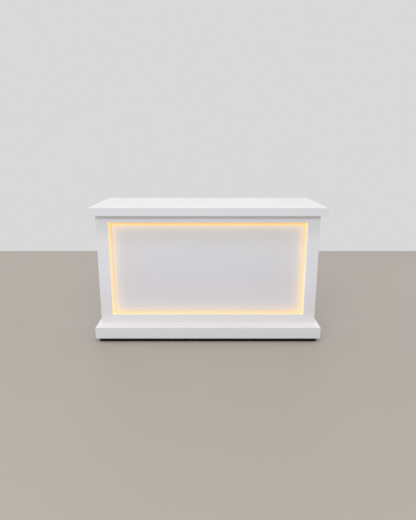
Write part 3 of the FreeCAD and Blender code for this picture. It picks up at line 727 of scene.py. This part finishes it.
# %% Hardware finishes
mould_cloud = 0.01
mould_gloss = 0.2


def moulded(name, colour, roughness, grain=0.0006, height=1.5e-5):
    """Moulded plastic: the mould's spark-eroded texture, and a slightly uneven gloss."""
    finish = Finish(name, colour, roughness, specular=0.4)
    pearl(finish, grain, height)
    gloss = (finish.noise(mould_cloud, detail=3) - 0.5) * mould_gloss
    finish.set("Roughness", gloss + roughness)
    return finish


def powder_coat():
    """White powder coat on folded steel."""
    finish = Finish("white_steel", screen_colour(236, 236, 233), 0.45)
    pearl(finish, 0.0018, 5e-5)
    return finish


def each(start):
    """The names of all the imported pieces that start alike, such as the four forks."""
    return [name for name in nodes if name.startswith(start)]


zinc = brushed("zinc_plate", screen_colour(201, 205, 209), 0.36, (0.004, 0.004, 0.004), 2e-5)
zinc.put_on("castor_plates", *each("castor_fork"))
bright = brushed("bright_steel", screen_colour(206, 207, 210), 0.24, (0.003, 0.0004, 0.003), 5e-6)
bright.put_on("assembly_screws", "pan_head_screws", "shelf_pins", *each("castor_axle"))
brushed("nickel", screen_colour(214, 208, 196), 0.2, (0.0005, 0.003, 0.0005), 4e-6).put_on(
    "power_entry_blades")
moulded("brake_plastic", screen_colour(52, 53, 56), 0.5).put_on(*each("brake_pedal"))
moulded("black_plastic", screen_colour(38, 38, 40), 0.48).put_on(
    "power_entry_module", "cable_gland")
moulded("rocker_plastic", screen_colour(30, 30, 32), 0.25, 0.002, 5e-6).put_on("power_rocker")
moulded("white_plastic", screen_colour(238, 238, 236), 0.42).put_on("cable_clips", "cable_grommet")
moulded("cable_jacket", screen_colour(233, 233, 231), 0.5).put_on("led_cable")
powder_coat().put_on("power_box")

# %% [markdown]
# ## Surfaces from arrays
#
# The small pieces below are surfaces. A formula gives a whole array of points at once, with
# rows one way and columns the other, and neighbours in the array become faces. That is
# shorter than stacking primitives, and a moulded or pressed shape comes out as one skin.

# %% From grids of points to an object
merge_distance = 2e-6
least_edge = 1e-6


def surface(name, grids, body, smooth=True):
    """One piece from grids of points (rows, columns, 3). A row closes on itself."""
    points = np.concatenate([grid.reshape(-1, 3) for grid in grids])
    faces, start = [], 0
    for grid in grids:
        rows, columns = grid.shape[:2]
        index = np.arange(rows * columns).reshape(rows, columns) + start
        index = np.concatenate([index, index[:, :1]], axis=1)
        corners = (index[:-1, :-1], index[:-1, 1:], index[1:, 1:], index[1:, :-1])
        faces.append(np.stack(corners, axis=-1).reshape(-1, 4))
        start += rows * columns
    mesh = bpy.data.meshes.new(name)
    mesh.from_pydata(points.tolist(), [], np.concatenate(faces).tolist())
    seal(mesh)
    mesh.polygons.foreach_set("use_smooth", np.full(len(mesh.polygons), smooth))
    piece = bpy.data.objects.new(name, mesh)
    bpy.context.scene.collection.objects.link(piece)
    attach(piece, body)
    return piece


def seal(mesh):
    """Merges points that coincide, drops faces without area and turns the rest outwards."""
    work = bmesh.new()
    work.from_mesh(mesh)
    bmesh.ops.remove_doubles(work, verts=work.verts, dist=merge_distance)
    bmesh.ops.dissolve_degenerate(work, edges=work.edges, dist=least_edge)
    bmesh.ops.recalc_face_normals(work, faces=work.faces)
    work.to_mesh(mesh)
    work.free()


def capped(grid):
    """Closes a tube of rows with a point in the middle of each end."""
    ends = [np.broadcast_to(row.mean(axis=0), (1, *row.shape)) for row in (grid[0], grid[-1])]
    return np.concatenate([ends[0], grid, ends[1]])


def looped(grid):
    """Closes rows that come round to the first one again."""
    return np.concatenate([grid, grid[:1]])


print("two points merge when nearer than", merge_distance, "m")

# %% [markdown]
# ## A block with round edges
#
# Lips, ribs and caps are blocks with broken edges, as every moulded part has them. A cube with
# a Bevel modifier would do, but a modifier works on a whole object, and here several blocks
# make one piece. So a ball's surface is pulled apart at its quarters. That gives the same
# block as one more grid.

# %% An eased block


def eased_block(low, high, ease, steps=3):
    """A block with round edges: the corners of the block less the ease, plus a ball's surface.

    Longitude and latitude run in quarters. Each quarter stands off from its own corner, and
    the faces between two quarters become the block's flat sides.
    """
    low, high = np.array(low), np.array(high)
    quarter = np.linspace(0, math.pi / 2, steps + 1)
    longitude = np.concatenate([quarter + k * math.pi / 2 for k in range(4)])
    latitude = np.concatenate([quarter - math.pi / 2, quarter])
    side_x = np.repeat([1, -1, -1, 1], steps + 1)
    side_y = np.repeat([1, 1, -1, -1], steps + 1)
    side_z = np.repeat([-1, 1], steps + 1)
    tall, around = np.meshgrid(latitude, longitude, indexing="ij")
    level = np.cos(tall)
    ball = np.stack([level * np.cos(around), level * np.sin(around), np.sin(tall)], -1)
    signs = np.broadcast_arrays(side_x[None, :], side_y[None, :], side_z[:, None])
    sides = np.stack(signs, -1)
    return capped((low + high) / 2 + sides * ((high - low) / 2 - ease) + ball * ease)


print("points of an eased block:", eased_block((0, 0, 0), (1, 1, 1), 0.1).shape[:2])

# %% [markdown]
# ## Castor wheels
#
# A furniture castor's wheel is moulded in two shots: a grey tyre over a hard hub. The tyre's
# section has round shoulders and a fine parting ridge from the mould. The hub's web is thin,
# and six ribs carry it from the boss to the rim.
#
# A disc with ribs joined on by booleans would leave rough seams. Here ribs and web are one
# height that depends on the radius and on the distance to the nearest rib, carried round the
# axle, so that both sides of the hub are one skin.

# %% A turn about an axle
wheel_turns = 144


def full_turn(steps=wheel_turns):
    """The angles of a full turn as one row, without the last, which is the first again."""
    return np.linspace(0, 2 * math.pi, steps, endpoint=False)[None, :]


def about_axle(axle, along, radius):
    """Points from distances along the axle and radii, one row each, round a full turn."""
    turn = full_turn()
    along, radius = np.broadcast_arrays(along, radius)
    return np.stack([axle[0] + along + 0 * turn, axle[1] + radius * np.cos(turn),
                     axle[2] + radius * np.sin(turn)], -1)


print("steps round a wheel:", full_turn().shape[1])

# %% Sections of the tyre and the hub
tyre_seat = 0.0085
tyre_setback = 0.0015
tyre_shoulder = 0.0035
tyre_crown = 0.0003
wall_ease, wall_rise = 0.0008, 0.0012
parting_ridge = 0.0001
ridge_foot, ridge_top = 0.0006, 0.0003
spokes = 6
boss_radius = 0.0100
rim_radius = 0.0252
rim_setback = 0.0006
web_half = 0.0030
rib_top = 0.0085
rib_half_width = 0.0021
rib_flank = 0.0006
step_flank = 0.0008
hub_radii = np.array([0.00405, 0.0088, 0.0094, 0.0100, 0.0108, 0.0125, 0.015, 0.018, 0.021,
                      0.024, 0.0252, 0.0260, 0.0275, 0.0291])[:, None]
boss_chamfer = np.array([[0.0], [0.0004]])


def tyre_section(radius, half, seat, shoulder):
    """Half a tyre's outline is a straight wall, a round shoulder and a crowned tread."""
    turn = np.linspace(0, math.pi / 2, 7)
    tread_radius = radius - parting_ridge
    wall = np.array([[half - wall_ease, seat], [half, seat + wall_rise]])
    arc = np.stack([half - shoulder + shoulder * np.cos(turn),
                    tread_radius - tyre_crown - shoulder + shoulder * np.sin(turn)], -1)
    tread = np.array([[half * 0.5, tread_radius], [ridge_foot, tread_radius],
                      [ridge_top, radius]])
    right = np.concatenate([wall, arc, tread])
    left = right[::-1] * (-1, 1)
    return np.concatenate([right, left])


def hub_height(radius, turn, half_boss, half_rim):
    """Half the hub's thickness: the boss, the rim, and a thin web with ribs between them."""
    spoke = 2 * math.pi / spokes
    to_rib = np.abs((turn / spoke + 0.5) % 1 - 0.5) * spoke * radius
    rib = np.clip((rib_half_width - to_rib) / rib_flank, 0, 1)
    web = web_half + rib * (rib_top - web_half)
    inner = np.clip((boss_radius + step_flank - radius) / step_flank, 0, 1)
    outer = np.clip((radius - rim_radius) / step_flank, 0, 1)
    return web + inner * (half_boss - web) + outer * (half_rim - web)


print("tyre outline:", len(tyre_section(0.0375, 0.0125, 0.029, tyre_shoulder)), "points")

# %% Four tyres and four hubs


def castor_wheel(corner):
    """A tyre and a hub that stand for one packed wheel."""
    node, body = f"castor_wheel_{corner}", f"wheel_{corner}"
    low, high = (np.array(point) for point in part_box(node))
    axle = (low + high) / 2
    radius = (high[2] - low[2]) / 2
    half_boss = (high[0] - low[0]) / 2
    half_tyre = half_boss - tyre_setback
    section = tyre_section(radius, half_tyre, radius - tyre_seat, tyre_shoulder)
    rubber = about_axle(axle, section[:, :1], section[:, 1:])
    tyre = surface(f"tyre_{corner}", [looped(rubber)], body)

    half = hub_height(hub_radii, full_turn(), half_boss, half_tyre - rim_setback)
    half[1:3] -= boss_chamfer
    both = np.concatenate([half, -half[::-1]])
    radii = np.concatenate([hub_radii, hub_radii[::-1]])
    hub = surface(f"wheel_hub_{corner}", [looped(about_axle(axle, both, radii))], body)
    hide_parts(node)
    return tyre, hub


corners = [name.removeprefix("castor_wheel_") for name in each("castor_wheel")]
wheels = [castor_wheel(corner) for corner in corners]
moulded("tyre_rubber", screen_colour(120, 122, 126), 0.62).put_on(*[tyre for tyre, hub in wheels])
moulded("hub_nylon", screen_colour(196, 198, 200), 0.45).put_on(*[hub for tyre, hub in wheels])
print("wheels:", corners, "faces each:", [len(piece.data.polygons) for piece in wheels[0]])

# %% [markdown]
# ## A brush strip under the front skirt
#
# Castors leave a gap under the plinth, and a black brush strip hangs in it as painted shade: its
# black stands for the shade of the gap. It stops short of the corners, where light from the sides
# reaches under the plinth. Hair strands would draw every bristle, but nobody sees one from above.
# So it is a thin sheet. Tufts and their ragged ends are waves along the strip, a short one on top
# of long ones.

# %% Carrier and bristles
brush_half = 0.882
brush_place = 0.0085 - sheet_half_depth
brush_floor_gap = 0.0022
tuft_pitch = 0.0034
tuft_steps = 6
ragged_depth = 0.0006
ragged_waves = (913.0, 71.0)
bristle_half = 0.0012
tuft_swell = 0.0005
bristle_bed = 0.004
lip_width = 0.0030
lip_starts = (-0.0045, 0.0015)
lip_drop, lip_bed, lip_ease = 0.0035, 0.002, 0.0008


def bristles(half, middle, low, high):
    """A thin sheet of tufts: rows along X, and each row goes round the strip's section."""
    x = np.linspace(-half, half, int(2 * half / tuft_pitch * tuft_steps))[:, None]
    tuft = np.sin(2 * math.pi * x / tuft_pitch)
    first, second = ragged_waves
    ragged = ragged_depth * np.sin(x * first) * np.sin(x * second) + ragged_depth / 2 * tuft
    outward = np.array([-1, 1, 1, 1, -1, -1])[None, :]
    loose = np.array([0, 0, 0.6, 1.0, 1.0, 0.6])[None, :]
    height = np.array([high, high, (low + high) / 2, low, low, (low + high) / 2])[None, :]
    thick = bristle_half + loose * tuft_swell * tuft
    return capped(np.stack([x + 0 * loose, middle + outward * thick, height + loose * ragged], -1))


def shade_brush_strip():
    """Bristles, and the lips of the carrier that is pressed into the skirt's lower edge."""
    skirt_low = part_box("plinth_front_skirt")[0].z
    sheet = bristles(brush_half, brush_place, brush_floor_gap, skirt_low + bristle_bed)
    tufts = surface("brush_bristles", [sheet], "counter")
    low, high = skirt_low - lip_drop, skirt_low + lip_bed
    lips = [eased_block((-brush_half, brush_place + start, low),
                        (brush_half, brush_place + start + lip_width, high), lip_ease)
            for start in lip_starts]
    return tufts, surface("brush_carrier", lips, "counter")


tufts, carrier = shade_brush_strip()
# Painted shade: the black of the bristles and the carrier stands for the shade in the gap.
moulded("gap_shade_bristles", screen_colour(24, 24, 24), 0.7).put_on(tufts)
moulded("gap_shade_carrier", screen_colour(34, 34, 35), 0.5).put_on(carrier)
print("bristle faces:", len(tufts.data.polygons))

# %% [markdown]
# ## Treads on the brake pedals
#
# A foot finds a brake pedal by feel, so its end has raised ribs across it. A bump pattern
# would vanish in outline, and the pedal is small enough for real ones. They lie on the
# sloping tread, so each rib is a rounded bar in the slope's own two directions.

# %% Ribs
pedal_slope = math.radians(8)
pedal_round = 0.0042
rib_half_length = 0.0145
rib_half_thickness = 0.0008
rib_sunk, rib_proud, rib_ease = 0.0005, 0.0007, 0.0005
rib_backs = np.linspace(0.0028, 0.0152, 5)


def tread_ribs(side):
    """Five round ribs across one pedal's tread."""
    low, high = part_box(f"brake_pedal_rear_{side}")
    middle = (low.x + high.x) / 2
    bar = eased_block((-rib_half_length, -rib_half_thickness, -rib_sunk),
                      (rib_half_length, rib_half_thickness, rib_proud), rib_ease, 4)
    along = np.array([0, math.cos(pedal_slope), math.sin(pedal_slope)])
    up = np.array([0, -math.sin(pedal_slope), math.cos(pedal_slope)])
    edge = np.array([middle, high.y - pedal_round * math.sin(pedal_slope), high.z])
    turned = bar[..., :1] * (1, 0, 0) + bar[..., 1:2] * along + bar[..., 2:] * up
    grids = [turned + edge - back * along for back in rib_backs]
    return surface(f"pedal_ribs_{side}", grids, f"brake_rear_{side}")


ribs = [tread_ribs(side) for side in ("left", "right")]
moulded("rib_plastic", screen_colour(60, 61, 64), 0.6).put_on(*ribs)
print("ribs:", [piece.name for piece in ribs])

# %% [markdown]
# ## Marks on the rocker switch
#
# A bar for on and a ring for off, a sixth of a millimetre proud, as a two-shot moulding has
# them. They could be a white mask in the rocker's material, but its edge would blur from
# near. The rocker's face is a shallow V, so each mark lies on its own half of it.

# %% Bar and ring
rocker_lean = math.radians(8)
face_slope = math.atan(1.5 / 8.5)
pivot_depth = 0.005
half_middle = (0.00525, 0.00425)
mark_rise = 0.00016
bar_half_width, bar_half_length = 0.0004, 0.0016
bar_sunk, bar_ease = 0.0002, 0.0001
ring_radius, ring_half_width = 0.0015, 0.00035


def on_rocker(grid, half):
    """Places a mark made flat (across, along, out) on the upper (1) or lower (-1) half."""
    low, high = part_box("power_rocker")
    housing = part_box("power_entry_module")
    middle = (housing[0] + housing[1]) / 2
    pivot = np.array([(low.x + high.x) / 2, housing[1].y - pivot_depth, middle.z])
    out = np.array([0, math.cos(face_slope), -half * math.sin(face_slope)])
    along = np.array([0, half * math.sin(face_slope), math.cos(face_slope)])
    place = np.array([0, half_middle[0], half * half_middle[1]])
    flat = grid[..., :1] * (1, 0, 0) + grid[..., 1:2] * along + grid[..., 2:] * out + place
    y = flat[..., 1] * math.cos(rocker_lean) - flat[..., 2] * math.sin(rocker_lean)
    z = flat[..., 1] * math.sin(rocker_lean) + flat[..., 2] * math.cos(rocker_lean)
    return np.stack([flat[..., 0], y, z], -1) + pivot


def switch_marks():
    """The bar and the ring as one white piece."""
    bar = eased_block((-bar_half_width, -bar_half_length, -bar_sunk),
                      (bar_half_width, bar_half_length, mark_rise), bar_ease, 2)
    turn = full_turn(40)
    tube = np.linspace(0, 2 * math.pi, 11)[:, None]
    radius = ring_radius + ring_half_width * np.cos(tube)
    ring = np.stack([radius * np.cos(turn), radius * np.sin(turn),
                     mark_rise * np.sin(tube) + 0 * turn], -1)
    return surface("switch_marks", [on_rocker(bar, 1), on_rocker(ring, -1)], "rocker")


marks = switch_marks()
moulded("mark_white", screen_colour(240, 240, 240), 0.4).put_on(marks)
print("mark faces:", len(marks.data.polygons))

# %% [markdown]
# ## Louvres on the power box
#
# The driver inside needs air. A press cuts a slit and pushes the metal above it outward, so a
# louvre is a hood: its height rises slowly from the top and drops back steeply at the slit.
# Cutting slits by booleans would leave the hoods out. A height over a grid gives both.

# %% Pressed hoods beside the inlet
louvre_width = 0.030
louvre_drop = 0.0048
louvre_rise = 0.0018
louvre_sink = 0.0003
louvre_pitch = 0.0075
louvre_rows = 5
louvre_power = 0.4
box_flange = 0.014


def louvre(x, z, face):
    """One hood: a low power of a sine across it, times a ramp that ends at the slit."""
    across = np.linspace(0, 1, 25)[:, None]
    down = np.array([0, 0.15, 0.35, 0.6, 0.8, 0.92, 1.0, 1.0, 1.0, 0.0])[None, :]
    ramp = np.array([0, 0.12, 0.38, 0.74, 0.95, 1.0, 0.9, 0.0, 0.0, 0.0])[None, :]
    sunk = np.array([0, 0, 0, 0, 0, 0, 0, 0, 1, 1])[None, :]
    hump = np.sin(math.pi * across) ** louvre_power
    height = louvre_rise * hump * ramp - louvre_sink * sunk
    return capped(np.stack([x + (across - 0.5) * louvre_width + 0 * down, face + height,
                            z + (0.5 - down) * louvre_drop + 0 * across], -1))


def louvres():
    """Two banks of hoods on the box's rear wall, either side of the inlet."""
    low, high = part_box("power_box")
    inlet_low, inlet_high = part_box("power_entry_module")
    middle = (inlet_low.z + inlet_high.z) / 2
    left = (low.x + box_flange + inlet_low.x) / 2
    right = (high.x - box_flange + inlet_high.x) / 2
    rows = (np.arange(louvre_rows) - (louvre_rows - 1) / 2) * louvre_pitch + middle
    grids = [louvre(x, z, high.y) for x in (left, right) for z in rows]
    return surface("box_louvres", grids, "counter")


hoods = louvres()
powder_coat().put_on(hoods)
print("louvre faces:", len(hoods.data.polygons))

# %% [markdown]
# ## The light driver
#
# A driver is an aluminium tube with a plastic cap screwed on each end. It sits in the box,
# where it is only seen with the box off. Its fins could be boxes along a tube. One section
# does it: a square with round corners, pushed in between the fins.

# %% Ribbed tube and two caps
driver_fins = 30
fin_depth = 0.03
corner_power = 8
cap_length = 0.010
cap_overlap = 0.007
cap_round = 0.0015


def ribbed_tube(low, high):
    """A tube with fins: (|cos| ** 8 + |sin| ** 8) ** (-1 / 8), less 3% between the fins."""
    turn = full_turn(240)
    middle, half = (low + high) / 2, (high - low) / 2
    corner = np.abs(np.cos(turn)) ** corner_power + np.abs(np.sin(turn)) ** corner_power
    between = 0.5 + 0.5 * np.sign(np.sin(turn * driver_fins))
    shape = corner ** (-1 / corner_power) * (1 - fin_depth * between)
    y = middle[1] + half[1] * shape * np.cos(turn)
    z = middle[2] + half[2] * shape * np.sin(turn)
    inset = cap_length - cap_overlap
    ends = np.array([low[0] + inset, high[0] - inset])[:, None]
    return capped(np.stack([ends + 0 * y, y + 0 * ends, z + 0 * ends], -1))


def driver():
    """The tube and its caps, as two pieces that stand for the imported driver."""
    low, high = (np.array(point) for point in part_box("led_driver"))
    tube = surface("driver_tube", [ribbed_tube(low, high)], "counter", smooth=False)
    left_cap = eased_block(low, (low[0] + cap_length, high[1], high[2]), cap_round)
    right_cap = eased_block((high[0] - cap_length, low[1], low[2]), high, cap_round)
    caps = surface("driver_caps", [left_cap, right_cap], "counter")
    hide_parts("led_driver")
    return tube, caps


tube, caps = driver()
brushed("driver_case", screen_colour(205, 206, 208), 0.4, (0.02, 0.0005, 0.0005), 1e-5).put_on(tube)
moulded("cap_plastic", screen_colour(70, 71, 74), 0.5).put_on(caps)
print("driver:", tube.name, caps.name)
